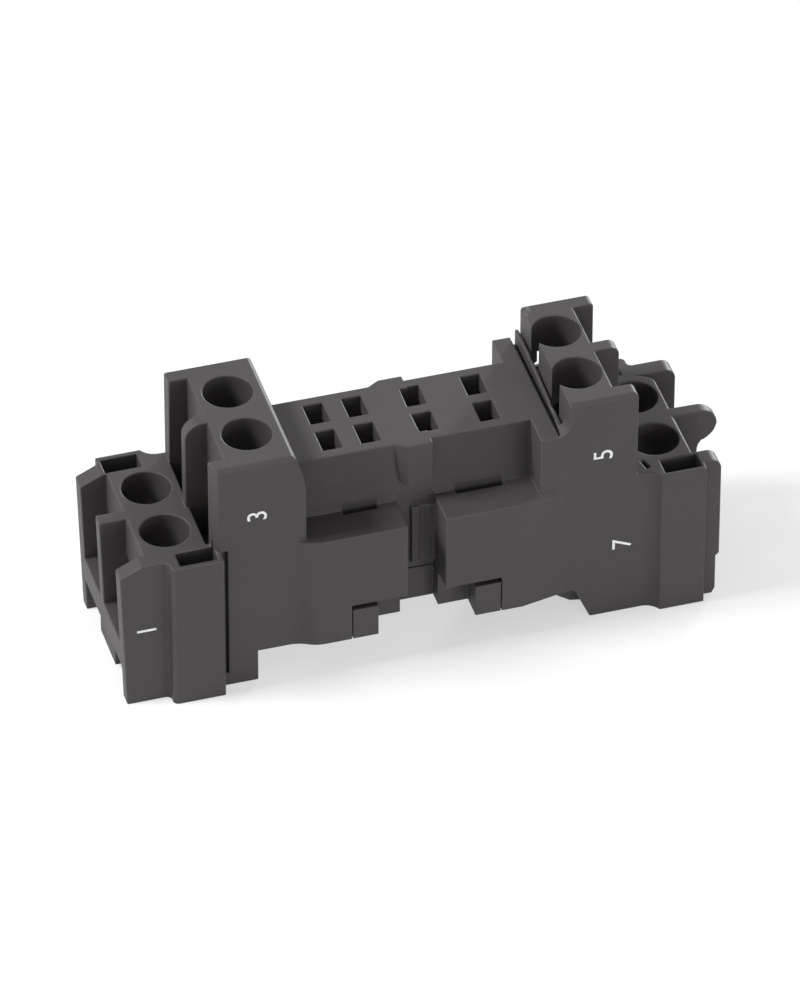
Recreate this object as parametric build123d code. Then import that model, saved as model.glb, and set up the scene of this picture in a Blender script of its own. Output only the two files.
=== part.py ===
from build123d import *
import os

# Relay socket: a slim plug-in socket that snaps onto a 35 mm rail.
# X runs along the length, Y across the width, Z up. The sizes below are
# measured from the middle of the body at base level. The finished pieces are
# then moved along X, so that the origin lies under the middle of the overall
# length, nose included. All sizes are in millimetres.

# Overall moulding
HALF_LENGTH = 33.7        # middle to each end face
HALF_WIDTH = 9.19         # middle to each flat side face
TIER_TOP = 18.84          # top of the low terminal tier at each end
TOWER_TOP = 30.1          # top of the high terminal towers
SEAT_TOP = 26.0           # face that the relay stands on
END_LEAN = 0.55           # how far the left end leans out at its top
END_SETBACK = 0.35        # the right end is shallower below this ledge
END_LEDGE = 5.2
EDGE = 0.35               # bevel on the towers' long top edges
INTO = 1.0                # how deep added forms root in the wall behind them

# Towers, left and right of the relay seat
LEFT_TOWER_OUT = -24.1
LEFT_TOWER_IN = -14.4
LEFT_TOWER_FOOT = -13.33  # the inner face sweeps out to here lower down
SWEEP_FOOT = 24.4
SWEEP_BOW = 0.28
RIGHT_TOWER_IN = 16.35
RIGHT_TOWER_OUT = 24.1
TOWER_ROUND = 0.8         # top corner of the right tower's back wall
SHOULDER_START = 0.3      # the left tower's outer front corner is cut off
SHOULDER_END = 0.9

# Relay seat
SEAT_HALF_WIDTH = 5.2     # the raised core under the relay
CORE_WAIST = 4.85         # the core's sides curve in to here
CORE_FLARE = 0.3          # and out again by this much at the foot
SIDE_POCKET_END = 13.1    # right end of the open pockets beside the core
LEDGE_SLOT_LEFT = (-8.3, -4.4)
LEDGE_SLOT_RIGHT = (4.5, 9.8)
LEDGE_SLOT_WIDTH = 0.8
LEDGE_SLOT_DEPTH = 2.5

# Thin spring wall between the seat and the right tower
SEAT_END = 15.15          # end of the full-width block at the right
SPRING_GROOVE = 0.55
SPRING_WALL = 0.42
SPRING_WALL_TOP = 26.9
SPRING_WALL_FOOT = 24.9
SPRING_WALL_HIGH = 1.5    # length of its high part at the back
SPRING_WALL_END = -7.4    # it ends here, short of the front face
GROOVE_BEND = -5.6        # towards the front the groove narrows from here
GROOVE_END = -8.9
GROOVE_TIP = 0.2
ROOT_REACH = 1.45         # concave foot of the tower's front strip
ROOT_RISE = 1.6

# Side panels that stand proud of the side faces
PANEL_TOP = 18.38
PANEL_PROUD = 1.0
PANEL_START = -15.4
PANEL_RAMP = 3.9          # the left panel runs out in an S-curve
PANEL_CREASE = 10.9       # the right panel tapers straight from here
PANEL_END = 15.9
PANEL_LIP = 0.35
GAP_LEFT = -2.2           # open channel in the middle of each side
GAP_RIGHT = 2.1
SKIRT_BOTTOM = 8.7        # free lower edge of the panels beside the channel

# Lug for a hold-down clip and the ribbed stem below it, in each channel
LUG_PROUD = 0.8
LUG_BOTTOM = 20.3
LUG_LEFT = -0.87          # left end of its front face
LUG_RIGHT = 1.85
LUG_FOOT = -1.55          # its left side slants in to here
LUG_CORNER = 0.6
STEM_TOP = 17.2
STEM_BOTTOM = 9.3
STEM_PROUD = 0.45
STEM_RIBS = ((-0.5, 0.45), (1.3, 2.1))
RIB_PROUD = 0.2

# Rail recess and base
RAIL_DEPTH = 4.03
RAIL_LEFT = -18.87
RAIL_WIDTH = 36.0
RAIL_RAMP = 1.8           # the right end of the recess opens by this much
HOOK_REACH = 1.5          # fixed hook under the rail's edge
HOOK_THICK = 1.5
HOOK_LEAD = 0.5
HOOK_WALL = 1.2
RAIL_FLANGE = 1.15        # room left for the rail's flange
BASE_WALL = 1.6           # outer walls of the hollow base ends
BASE_ROOF = 4.2           # underside of the solid part above the hollows

# Screw wells and wire entries
WELL_RADIUS = 2.75
WELL_SHIFT = 0.215        # a well's axis lies this much nearer the divider than its slot's middle
TIER_WELL = 27.7          # low wells to the middle
LEFT_TOWER_WELL = -18.4
RIGHT_TOWER_WELL = 18.75
WIRE_HALF_GAP = 0.75      # half the divider between the two rows
WIRE_WALL = 1.93          # side wall beside a wire slot
LEFT_TIER_SLOT = 2.5      # lengths of the wire slots
LEFT_TOWER_SLOT = 2.15
RIGHT_TOWER_SLOT = 2.3
RIGHT_TIER_SLOT = 2.7
LAND_EDGE = 0.2           # bevel along the decks' outer edges
LAND_ROUND = 2.1          # rounded deck corner at the back of the right tier
TIER_FLOOR = 8.5          # floor of a tier's wire chamber
TIER_SILL = 7.5           # the wire slots are a little deeper at the end face
TOWER_FLOOR = 19.2        # floor of a tower's wire chamber
CHAMBER_HEIGHT = 5.1
CHANNEL_BOTTOM = 14.4     # foot of the deep groove outside each tower
PLATE_ROOM = 0.2          # room around a terminal plate in its chamber
DIVIDER_ROUND = 2.0       # rounded top corner of the left tower's divider
DIVIDER_STEP = 0.4        # the towers' dividers stand out by this much
CORNER_RUN = 2.5          # sloped corners on the left tier's outer walls
CORNER_DROP = 1.2
END_ROUND = 1.2           # rounded corners on the right tier's outer walls
RELIEF_IN = 5.6           # slanted hole behind the right tower's back well
RELIEF_WIDTH = 1.5
RELIEF_SHIFT = 0.6
RELIEF_INSIDE = (4.6, 7.0)
RELIEF_OUTSIDE = (1.7, 3.4)

# Rounded nose on the divider of the right tier
NOSE_REACH = 2.3
NOSE_BOTTOM = 14.8
NOSE_SWEEP = 1.6          # its underside sweeps down into the wall
NOSE_NECK = 0.5
NOSE_TIP = 0.55           # half its thickness at the tip
NOSE_ROOT = 4.0

# Bulged pockets in the side walls. One pair is at the right tier, front and
# back; the pair at the left tier is the same, turned half round.
END_BULGE = (26.6, 31.7)
END_BULGE_PROUD = 1.15
END_BULGE_RAMP = 1.7
END_POCKET = (27.15, 31.3)
END_POCKET_IN = 7.5
TOWER_BULGE = (22.95, 28.2)
TOWER_BULGE_PROUD = 1.5
TOWER_BULGE_RAMP = 1.2
TOWER_POCKET = (23.45, 27.7)
TOWER_POCKET_IN = 7.9
TOWER_GROOVE = (22.2, 22.95)
TOWER_GROOVE_FOOT = 1.7
BULGE_WALL = 0.6
POCKET_DEPTH = 5.0
SIDE_GROOVE_DEPTH = 0.8
NOTCH_AT = (25.45, -7.7)  # a short slit in the deck beside the front pocket
NOTCH_LENGTH = 1.4
NOTCH_WIDTH = 0.45
NOTCH_TURN = 78

# Blade slots and contacts
SLOT_COLUMNS = (-8.85, -4.5, 2.05, 8.95)
SLOT_ROW = 2.35
SLOT_LENGTH = 2.2
SLOT_WIDTH = 3.3
SEAT_SKIN = 2.4
BLADE_GAP = 0.5
LEAF_THICK = 0.4
LEAF_FLARE = 0.45
LEAF_LEAD = 1.2           # height of the flared mouth of a contact
LEAF_WIDTH = 2.9
LEAF_BELOW = 0.4          # contact mouth to the underside of the seat
LEAF_ROOM = 0.3
CONTACT_ROOM = 0.2
STRIP_THICK = 0.8
ARM_WIDTH = 2.4

# Terminal plates, clamp plates and screws
PLATE_LENGTH = 5.8
PLATE_THICK = 1.2
CLAMP_LENGTH = 5.2
CLAMP_THICK = 1.0
CLAMP_GAP = 0.1
SCREW_RADIUS = 1.5
SCREW_HEAD_RADIUS = 2.5
SCREW_HEAD_HEIGHT = 2.0
SCREW_HEAD_EDGE = 0.5
SCREW_LENGTH = 4.7
SCREW_ROOM = 0.05         # radial play of the screw in its thread
HEAD_GAP = 0.05
SHANK_ROOM = 0.4          # room around and below the screw's free end
TIP_ROOM = 0.15
DRIVE_WIDTH = 0.8
DRIVE_LENGTH = 3.6
DRIVE_DEPTH = 1.1

# Base cover
COVER_TOP = 8.3
COVER_GAP = 0.1
COVER_INSET = 0.3
COVER_HALF_WIDTH = 7.2
CHANNEL_ROOM = 0.1
TAB_IN = 5.5
TAB_OUT = 8.4
TAB_TOP = 8.05
TAB_SUNK = 0.05           # the tabs' faces lie this far behind the panels'
WINDOW_ROOM = 0.5
WINDOW_HEADROOM = 0.65

# Rail latch, a slider in the left end of the base
LATCH_HALF_WIDTH = 3.1
LATCH_FLANGE = 0.8
LATCH_FLANGE_THICK = 1.3
LATCH_BOTTOM = 0.6
LATCH_RECESS = 0.35
LATCH_ROOM = 0.15
LATCH_TIP = 1.4
LATCH_TIP_THICK = 0.9
LATCH_SHOULDER = 0.2
LATCH_PULL_INSET = 1.4    # slot for a screwdriver
LATCH_PULL_LENGTH = 1.5
LATCH_PULL_HALF = 1.8
GUIDE_WALL = 0.8
GUIDE_LIP = 1.0
GUIDE_INSET = 1.2
ARM_INSET = 4.0           # rail recess to the root of the spring arms
ARM_LENGTH = 4.1
ARM_THICK = 0.8
ARM_TIP = 1.1
ARM_ROOM = 0.4
ROOT_ROOM = 0.3


RAIL_RIGHT = RAIL_LEFT + RAIL_WIDTH
HOOK_ROOT = RAIL_RIGHT + RAIL_RAMP + HOOK_WALL
HOOK_TOP = RAIL_DEPTH - RAIL_FLANGE
LATCH_TOP = RAIL_DEPTH - LATCH_ROOM
ARM_ROOT = RAIL_LEFT - ARM_INSET
WIRE_OUT = HALF_WIDTH - WIRE_WALL
ROW_OFFSET = (WIRE_OUT + WIRE_HALF_GAP) / 2 - WELL_SHIFT
PLATE_WIDTH = 2 * (ROW_OFFSET - WIRE_HALF_GAP - PLATE_ROOM)
PANEL_FACE = HALF_WIDTH + PANEL_PROUD
CHANNEL_BACK = SEAT_HALF_WIDTH + CHANNEL_ROOM
SPRING_WALL_IN = SEAT_END + SPRING_GROOVE
SPRING_WALL_OUT = SPRING_WALL_IN + SPRING_WALL
ORIGIN_X = (NOSE_REACH - END_LEAN) / 2
CLEAR = 5.0               # well past everything, for cuts that run out
OVER = 1.0                # a cutting shape reaches this far past the face that it cuts
ABOVE = TOWER_TOP + CLEAR
BELOW = -CLEAR
ON_BASE = (Align.CENTER, Align.CENTER, Align.MIN)


def block(x0, x1, y0, y1, z0, z1):
    """A rectangular solid between two corners."""
    size = Box(abs(x1 - x0), abs(y1 - y0), abs(z1 - z0))
    return Pos((x0 + x1) / 2, (y0 + y1) / 2, (z0 + z1) / 2) * size


def side_prism(outline, y0, y1):
    """A closed outline in X and Z, drawn out across the width."""
    face = make_face(Plane.XZ.offset(-y0) * outline)
    return extrude(face, y1 - y0, dir=(0, 1, 0))


def plan_prism(outline, z0, z1):
    """A closed outline in X and Y, drawn up."""
    face = make_face(Plane.XY.offset(z0) * outline)
    return extrude(face, z1 - z0, dir=(0, 0, 1))


def end_prism(outline, x0, x1):
    """A closed outline in Y and Z, drawn out along the length."""
    face = make_face(Plane.YZ.offset(x0) * outline)
    return extrude(face, x1 - x0, dir=(1, 0, 0))


def both_sides(solid):
    """The solid and its mirror image on the other side face."""
    return solid + mirror(solid, about=Plane.XZ)


def half_turn(solid):
    """The solid and a copy turned half round the vertical axis."""
    return solid + Rot(0, 0, 180) * solid


def together(solids):
    """All of the solids in one."""
    result = solids[0]
    for solid in solids[1:]:
        result += solid
    return result


def s_curve(start, end, heading):
    """Two equal arcs from start to end, level along the heading at both ends."""
    middle = ((start[0] + end[0]) / 2, (start[1] + end[1]) / 2)
    first = TangentArc(start, middle, tangent=heading)
    return first + TangentArc(middle, end, tangent=first % 1)


def terminals():
    """Each terminal's number, well, row, wire end and floor."""
    tiers = (
        (-TIER_WELL, -1, TIER_FLOOR),
        (LEFT_TOWER_WELL, -1, TOWER_FLOOR),
        (RIGHT_TOWER_WELL, 1, TOWER_FLOOR),
        (TIER_WELL, 1, TIER_FLOOR),
    )
    places = []
    for well, outward, floor in tiers:
        for row in (-1, 1):
            places.append((len(places) + 1, well, row, outward, floor))
    return places


def entry(outward, floor):
    """Open end, inner end, floor and deck of a terminal's wire slot."""
    if floor == TIER_FLOOR:
        length = LEFT_TIER_SLOT if outward < 0 else RIGHT_TIER_SLOT
        open_end = outward * (HALF_LENGTH + END_LEAN + CLEAR)
        return open_end, outward * (HALF_LENGTH - length), TIER_SILL, TIER_TOP
    wall = LEFT_TOWER_OUT if outward < 0 else RIGHT_TOWER_OUT
    length = LEFT_TOWER_SLOT if outward < 0 else RIGHT_TOWER_SLOT
    return wall, wall - outward * length, CHANNEL_BOTTOM, TOWER_TOP


def contact_column(outward, floor):
    """The blade column that a terminal serves."""
    if floor == TOWER_FLOOR:
        return SLOT_COLUMNS[0] if outward < 0 else SLOT_COLUMNS[3]
    return SLOT_COLUMNS[1] if outward < 0 else SLOT_COLUMNS[2]


def arm_start(well, outward):
    """Where a terminal plate ends and its arm begins."""
    return well - outward * PLATE_LENGTH / 2


def screw_seat(floor):
    """Height of the underside of a tightened screw's head."""
    return floor + PLATE_THICK + CLAMP_GAP + CLAMP_THICK + HEAD_GAP


def tower_sweep():
    """The hollow curve of the left tower's inner face, from the seat up."""
    top = TOWER_TOP - EDGE
    return ThreePointArc(
        (LEFT_TOWER_FOOT, SWEEP_FOOT),
        (LEFT_TOWER_FOOT - SWEEP_BOW, (SWEEP_FOOT + top) / 2),
        (LEFT_TOWER_IN, top),
    )


def moulding_blank():
    """The stepped side outline of the whole moulding, drawn across the width."""
    outline = tower_sweep() + Polyline(
        (LEFT_TOWER_IN, TOWER_TOP - EDGE),
        (LEFT_TOWER_IN - EDGE, TOWER_TOP),
        (LEFT_TOWER_OUT, TOWER_TOP),
        (LEFT_TOWER_OUT, TIER_TOP),
        (-HALF_LENGTH - END_LEAN, TIER_TOP),
        (-HALF_LENGTH, 0),
        (RAIL_LEFT, 0),
        (RAIL_LEFT, RAIL_DEPTH),
        (RAIL_RIGHT, RAIL_DEPTH),
        (RAIL_RIGHT + RAIL_RAMP, 0),
        (HALF_LENGTH - 2 * END_SETBACK, 0),
        (HALF_LENGTH - END_SETBACK, 2 * END_SETBACK),
        (HALF_LENGTH - END_SETBACK, END_LEDGE),
        (HALF_LENGTH, END_LEDGE + END_SETBACK),
        (HALF_LENGTH, TIER_TOP),
        (RIGHT_TOWER_OUT, TIER_TOP),
        (RIGHT_TOWER_OUT, TOWER_TOP - EDGE),
        (RIGHT_TOWER_OUT - EDGE, TOWER_TOP),
        (RIGHT_TOWER_IN, TOWER_TOP),
        (RIGHT_TOWER_IN, SEAT_TOP),
        (LEFT_TOWER_FOOT + INTO, SEAT_TOP),
        (LEFT_TOWER_FOOT, SWEEP_FOOT),
    )
    # The notch between the sweep and the seat is filled up to the seat.
    fill = block(
        LEFT_TOWER_FOOT - INTO, LEFT_TOWER_FOOT + 1.2 * INTO,
        -SEAT_HALF_WIDTH - CORE_FLARE, SEAT_HALF_WIDTH + CORE_FLARE,
        SWEEP_FOOT - INTO, SEAT_TOP,
    )
    return side_prism(outline, -HALF_WIDTH, HALF_WIDTH) + fill


def long_edge_cuts():
    """The bevels along the towers' front and back top edges."""
    corner = Polyline(
        (HALF_WIDTH - EDGE - OVER, TOWER_TOP + OVER),
        (HALF_WIDTH + OVER, TOWER_TOP - EDGE - OVER),
        (HALF_WIDTH + OVER, TOWER_TOP + OVER),
        close=True,
    )
    return both_sides(end_prism(corner, -HALF_LENGTH, HALF_LENGTH))


def left_panel():
    """The front panel left of the channel, running out to the left in an S-curve."""
    start = PANEL_START + PANEL_RAMP
    outline = s_curve((PANEL_START, HALF_WIDTH), (start, PANEL_FACE), (1, 0)) + Polyline(
        (start, PANEL_FACE),
        (GAP_LEFT, PANEL_FACE),
        (GAP_LEFT, HALF_WIDTH - INTO),
        (PANEL_START, HALF_WIDTH - INTO),
        (PANEL_START, HALF_WIDTH),
    )
    return plan_prism(outline, RAIL_DEPTH, PANEL_TOP)


def right_panel():
    """The panel right of the channel, with a straight taper and a bevelled lip."""
    outline = Polyline(
        (GAP_RIGHT, HALF_WIDTH - INTO),
        (GAP_RIGHT, PANEL_FACE),
        (PANEL_CREASE, PANEL_FACE),
        (PANEL_END, HALF_WIDTH),
        (PANEL_END, HALF_WIDTH - INTO),
        close=True,
    )
    solid = plan_prism(outline, RAIL_DEPTH, PANEL_TOP)
    top = solid.edges().group_by(Axis.Z)[-1]
    lip = [e for e in top if e.center().Y > HALF_WIDTH and e.center().X > PANEL_CREASE]
    return chamfer(lip, PANEL_LIP)


def side_pockets():
    """The open space beside the relay seat's core, above the panels."""
    section = ThreePointArc(
        (SEAT_HALF_WIDTH, SEAT_TOP),
        (CORE_WAIST, (SEAT_TOP + PANEL_TOP) / 2),
        (SEAT_HALF_WIDTH + CORE_FLARE, PANEL_TOP),
    ) + Polyline(
        (SEAT_HALF_WIDTH + CORE_FLARE, PANEL_TOP),
        (PANEL_FACE + OVER, PANEL_TOP),
        (PANEL_FACE + OVER, ABOVE),
        (SEAT_HALF_WIDTH, ABOVE),
        (SEAT_HALF_WIDTH, SEAT_TOP),
    )
    limits = tower_sweep() + Polyline(
        (LEFT_TOWER_IN, TOWER_TOP - EDGE),
        (LEFT_TOWER_IN, ABOVE),
        (SIDE_POCKET_END, ABOVE),
        (SIDE_POCKET_END, BELOW),
        (LEFT_TOWER_FOOT, BELOW),
        (LEFT_TOWER_FOOT, SWEEP_FOOT),
    )
    space = end_prism(section, LEFT_TOWER_IN, SIDE_POCKET_END)
    space = space & side_prism(limits, 0, PANEL_FACE + OVER)
    for x0, x1 in (LEDGE_SLOT_LEFT, LEDGE_SLOT_RIGHT):
        space += block(
            x0, x1, CHANNEL_BACK, CHANNEL_BACK + LEDGE_SLOT_WIDTH,
            PANEL_TOP - LEDGE_SLOT_DEPTH, PANEL_TOP + INTO,
        )
    return both_sides(space)


def middle_channels():
    """The open channel in the middle of each side, down to the base."""
    channel = block(
        GAP_LEFT, GAP_RIGHT, CHANNEL_BACK, PANEL_FACE + OVER, BELOW, PANEL_TOP + INTO
    )
    undercut = block(
        -TAB_IN, TAB_IN, COVER_HALF_WIDTH, PANEL_FACE + OVER, BELOW, SKIRT_BOTTOM
    )
    return both_sides(channel + undercut)


def clip_lugs():
    """The lug and ribbed stem that a hold-down clip hooks onto, on each side."""
    root = CORE_WAIST - INTO
    plan = Polyline(
        (GAP_LEFT, root),
        (LUG_RIGHT, root),
        (LUG_RIGHT, SEAT_HALF_WIDTH + LUG_PROUD),
        (LUG_LEFT, SEAT_HALF_WIDTH + LUG_PROUD),
        (GAP_LEFT, SEAT_HALF_WIDTH),
        close=True,
    )
    front = Polyline(
        (GAP_LEFT, SEAT_TOP),
        (LUG_RIGHT, SEAT_TOP),
        (LUG_RIGHT, LUG_BOTTOM),
        (LUG_FOOT + LUG_CORNER, LUG_BOTTOM),
        (LUG_FOOT, LUG_BOTTOM + LUG_CORNER),
        close=True,
    )
    lug = plan_prism(plan, LUG_BOTTOM, SEAT_TOP)
    lug = lug & side_prism(front, root, PANEL_FACE)
    face = SEAT_HALF_WIDTH + STEM_PROUD
    lug += block(STEM_RIBS[0][0], STEM_RIBS[1][1], root, face, STEM_BOTTOM, STEM_TOP)
    for x0, x1 in STEM_RIBS:
        lug += block(x0, x1, root, face + RIB_PROUD, STEM_BOTTOM, STEM_TOP)
    return both_sides(lug)


def spring_wall_cuts():
    """The grooves that leave a thin wall standing beside the right tower."""
    side = HALF_WIDTH + OVER
    groove = Polyline(
        (SEAT_END, side),
        (SPRING_WALL_IN, side),
        (SPRING_WALL_IN, GROOVE_BEND),
        (SEAT_END + GROOVE_TIP, GROOVE_END),
        (SEAT_END, GROOVE_END),
        close=True,
    )
    cut = plan_prism(groove, SPRING_WALL_FOOT, ABOVE)
    return cut + block(
        SPRING_WALL_OUT, RIGHT_TOWER_IN, SPRING_WALL_END, side, SPRING_WALL_FOOT, ABOVE
    )


def spring_wall():
    """The part of the thin wall that stands above the seat, lower at the front."""
    high = HALF_WIDTH - SPRING_WALL_HIGH
    outline = s_curve((high, SPRING_WALL_TOP), (SPRING_WALL_END, SEAT_TOP), (-1, 0)) + Polyline(
        (SPRING_WALL_END, SEAT_TOP),
        (SPRING_WALL_END, SPRING_WALL_FOOT),
        (HALF_WIDTH, SPRING_WALL_FOOT),
        (HALF_WIDTH, SPRING_WALL_TOP),
        (high, SPRING_WALL_TOP),
    )
    return end_prism(outline, SPRING_WALL_IN, SPRING_WALL_OUT)


def tower_root():
    """The curved foot where the right tower's front strip meets the seat block."""
    start = RIGHT_TOWER_IN - ROOT_REACH
    outline = ThreePointArc(
        (start, SEAT_TOP),
        (RIGHT_TOWER_IN - 0.3 * ROOT_REACH, SEAT_TOP + 0.3 * ROOT_RISE),
        (RIGHT_TOWER_IN, SEAT_TOP + ROOT_RISE),
    ) + Polyline(
        (RIGHT_TOWER_IN, SEAT_TOP + ROOT_RISE),
        (RIGHT_TOWER_IN + INTO, SEAT_TOP + ROOT_RISE),
        (RIGHT_TOWER_IN + INTO, SEAT_TOP - INTO),
        (start, SEAT_TOP - INTO),
        (start, SEAT_TOP),
    )
    return side_prism(outline, -HALF_WIDTH, SPRING_WALL_END)


def back_relief():
    """The slanted hole from the right tower's back well out through the back wall."""
    outside = HALF_WIDTH + OVER
    outline = Polyline(
        (RELIEF_IN, TOWER_FLOOR + RELIEF_INSIDE[1]),
        (RELIEF_IN, TOWER_FLOOR + RELIEF_INSIDE[0]),
        (outside, TOWER_FLOOR + RELIEF_OUTSIDE[0]),
        (outside, TOWER_FLOOR + RELIEF_OUTSIDE[1]),
        close=True,
    )
    middle = RIGHT_TOWER_WELL - RELIEF_SHIFT
    return end_prism(outline, middle - RELIEF_WIDTH / 2, middle + RELIEF_WIDTH / 2)


def corner_cuts():
    """The sloped corners of the left tier's walls and the left tower's shoulder."""
    end = -HALF_LENGTH - END_LEAN
    corner = Polyline(
        (end - OVER, TIER_TOP - CORNER_DROP),
        (end, TIER_TOP - CORNER_DROP),
        (end + CORNER_RUN, TIER_TOP),
        (end + CORNER_RUN, TIER_TOP + OVER),
        (end - OVER, TIER_TOP + OVER),
        close=True,
    )
    shoulder = Polyline(
        (LEFT_TOWER_OUT - OVER, -WIRE_OUT),
        (LEFT_TOWER_OUT + SHOULDER_START, -WIRE_OUT),
        (LEFT_TOWER_OUT + SHOULDER_END, -HALF_WIDTH),
        (LEFT_TOWER_OUT + SHOULDER_END, -HALF_WIDTH - OVER),
        (LEFT_TOWER_OUT - OVER, -HALF_WIDTH - OVER),
        close=True,
    )
    cut = both_sides(side_prism(corner, WIRE_OUT, HALF_WIDTH + OVER))
    return cut + plan_prism(shoulder, TIER_TOP, ABOVE)


def divider_ends():
    """The ends of the towers' dividers, which stand out past the walls."""
    low = TIER_TOP - INTO
    gap = WIRE_HALF_GAP
    left = block(LEFT_TOWER_OUT - DIVIDER_STEP, LEFT_TOWER_OUT + INTO, -gap, gap, low, TOWER_TOP)
    right = block(RIGHT_TOWER_OUT - INTO, RIGHT_TOWER_OUT + DIVIDER_STEP, -gap, gap, low, TOWER_TOP)
    return left + right


def top_round(x, z, outward, radius, y0, y1):
    """What has to go to round off a top corner that points along X."""
    middle = x - outward * radius
    corner = block(middle, x + outward * OVER, y0, y1, z - radius, z + OVER)
    rod = Rot(90, 0, 0) * Cylinder(radius, 2 * abs(y1 - y0))
    return corner - Pos(middle, (y0 + y1) / 2, z - radius) * rod


def rounded_corners():
    """The rounded top corners of the dividers and the outer walls."""
    gap = WIRE_HALF_GAP
    side = HALF_WIDTH + OVER
    return together([
        top_round(LEFT_TOWER_OUT - DIVIDER_STEP, TOWER_TOP, -1, DIVIDER_ROUND, -gap, gap),
        top_round(RIGHT_TOWER_OUT + DIVIDER_STEP, TOWER_TOP, 1, DIVIDER_ROUND / 2, -gap, gap),
        top_round(RIGHT_TOWER_IN, TOWER_TOP, -1, TOWER_ROUND, WIRE_OUT, side),
        top_round(HALF_LENGTH, TIER_TOP, 1, END_ROUND, WIRE_OUT, side),
        top_round(HALF_LENGTH, TIER_TOP, 1, END_ROUND, -side, -WIRE_OUT),
    ])


def wells():
    """The screwdriver wells above every terminal."""
    return together([
        Pos(well, row * ROW_OFFSET, floor + PLATE_THICK)
        * Cylinder(WELL_RADIUS, ABOVE, align=ON_BASE)
        for number, well, row, outward, floor in terminals()
    ])


def wire_space(well, row, outward, floor):
    """One terminal's wire slot, clamping chamber and room for the screw's end."""
    y0 = row * WIRE_HALF_GAP
    y1 = row * WIRE_OUT
    open_end, slot_in, slot_floor, deck = entry(outward, floor)
    chamber_in = arm_start(well, outward) - outward * PLATE_ROOM
    land = Polyline(
        (slot_in, deck - LAND_EDGE),
        (slot_in - outward * (LAND_EDGE + OVER), deck + OVER),
        (slot_in + outward * OVER, deck + OVER),
        (slot_in + outward, deck - LAND_EDGE),
        close=True,
    )
    tip = screw_seat(floor) - SCREW_LENGTH - TIP_ROOM
    shank = Cylinder(SCREW_RADIUS + SHANK_ROOM, floor + PLATE_THICK - tip, align=ON_BASE)
    return together([
        block(open_end, slot_in, y0, y1, slot_floor, ABOVE),
        block(open_end, chamber_in, y0, y1, floor, floor + CHAMBER_HEIGHT),
        side_prism(land, min(y0, y1), max(y0, y1)),
        Pos(well, row * ROW_OFFSET, tip) * shank,
    ])


def wire_spaces():
    """The wire slots and the clamping chambers under the decks."""
    return together([
        wire_space(well, row, outward, floor)
        for number, well, row, outward, floor in terminals()
    ])


def land_corner():
    """The corner taken off the deck at the back of the right tier."""
    x = HALF_LENGTH - RIGHT_TIER_SLOT
    low = TIER_FLOOR + CHAMBER_HEIGHT
    middle_x = x - LAND_ROUND
    middle_y = WIRE_OUT - LAND_ROUND
    corner = block(middle_x, x + OVER, middle_y, WIRE_OUT, low - OVER, ABOVE)
    rod = Cylinder(LAND_ROUND, ABOVE, align=ON_BASE)
    return corner - Pos(middle_x, middle_y, low - OVER) * rod


def blade_slots():
    """The mouths of the blade slots in the relay seat."""
    return together([
        block(
            x - SLOT_LENGTH / 2, x + SLOT_LENGTH / 2,
            row * SLOT_ROW - SLOT_WIDTH / 2, row * SLOT_ROW + SLOT_WIDTH / 2,
            SEAT_TOP - SEAT_SKIN, ABOVE,
        )
        for x in SLOT_COLUMNS for row in (-1, 1)
    ])


def contact_room(well, row, outward, floor):
    """The room under the seat for one contact, and the way to it."""
    half_x = BLADE_GAP / 2 + LEAF_THICK + LEAF_FLARE + LEAF_ROOM
    half_y = LEAF_WIDTH / 2 + CONTACT_ROOM
    arm_half = ARM_WIDTH / 2 + CONTACT_ROOM
    x = contact_column(outward, floor)
    y = row * SLOT_ROW
    bottom = COVER_TOP if floor == TIER_FLOOR else floor - CONTACT_ROOM
    room = block(x - half_x, x + half_x, y - half_y, y + half_y, bottom, SEAT_TOP - SEAT_SKIN)
    way = block(
        x, arm_start(well, outward), y - arm_half, y + arm_half,
        bottom, floor + STRIP_THICK + CONTACT_ROOM,
    )
    return room + way


def contact_rooms():
    """The rooms under the seat that hold all the contacts."""
    return together([
        contact_room(well, row, outward, floor)
        for number, well, row, outward, floor in terminals()
    ])


def end_bulge():
    """The bulge at the right tier's front corner, with a hollow run-in."""
    start, end = END_BULGE
    run_in = start - END_BULGE_RAMP
    face = -HALF_WIDTH - END_BULGE_PROUD
    outline = ThreePointArc(
        (run_in, -HALF_WIDTH),
        (start - 0.35 * END_BULGE_RAMP, -HALF_WIDTH - 0.35 * END_BULGE_PROUD),
        (start, face),
    ) + Polyline(
        (start, face),
        (end, face),
        (end, -HALF_WIDTH + INTO),
        (run_in, -HALF_WIDTH + INTO),
        (run_in, -HALF_WIDTH),
    )
    return plan_prism(outline, 0, TIER_TOP)


def tower_bulge():
    """The bulge behind the right tower's foot, with a soft S-shaped run-out."""
    start, end = TOWER_BULGE
    run_out = end + TOWER_BULGE_RAMP
    face = HALF_WIDTH + TOWER_BULGE_PROUD
    outline = s_curve((end, face), (run_out, HALF_WIDTH), (1, 0)) + Polyline(
        (run_out, HALF_WIDTH),
        (run_out, HALF_WIDTH - INTO),
        (start, HALF_WIDTH - INTO),
        (start, face),
        (end, face),
    )
    return plan_prism(outline, 0, TIER_TOP)


def bulge_cuts():
    """The pockets in the right tier's bulges and the groove beside one of them."""
    low = TIER_TOP - POCKET_DEPTH
    end_face = HALF_WIDTH + END_BULGE_PROUD
    tower_face = HALF_WIDTH + TOWER_BULGE_PROUD
    groove = HALF_WIDTH - SIDE_GROOVE_DEPTH
    return together([
        block(*END_POCKET, -END_POCKET_IN, BULGE_WALL - end_face, low, TIER_TOP + OVER),
        block(*TOWER_POCKET, TOWER_POCKET_IN, tower_face - BULGE_WALL, low, TIER_TOP + OVER),
        block(*TOWER_GROOVE, groove, tower_face, TOWER_GROOVE_FOOT, TIER_TOP),
    ])


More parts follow.
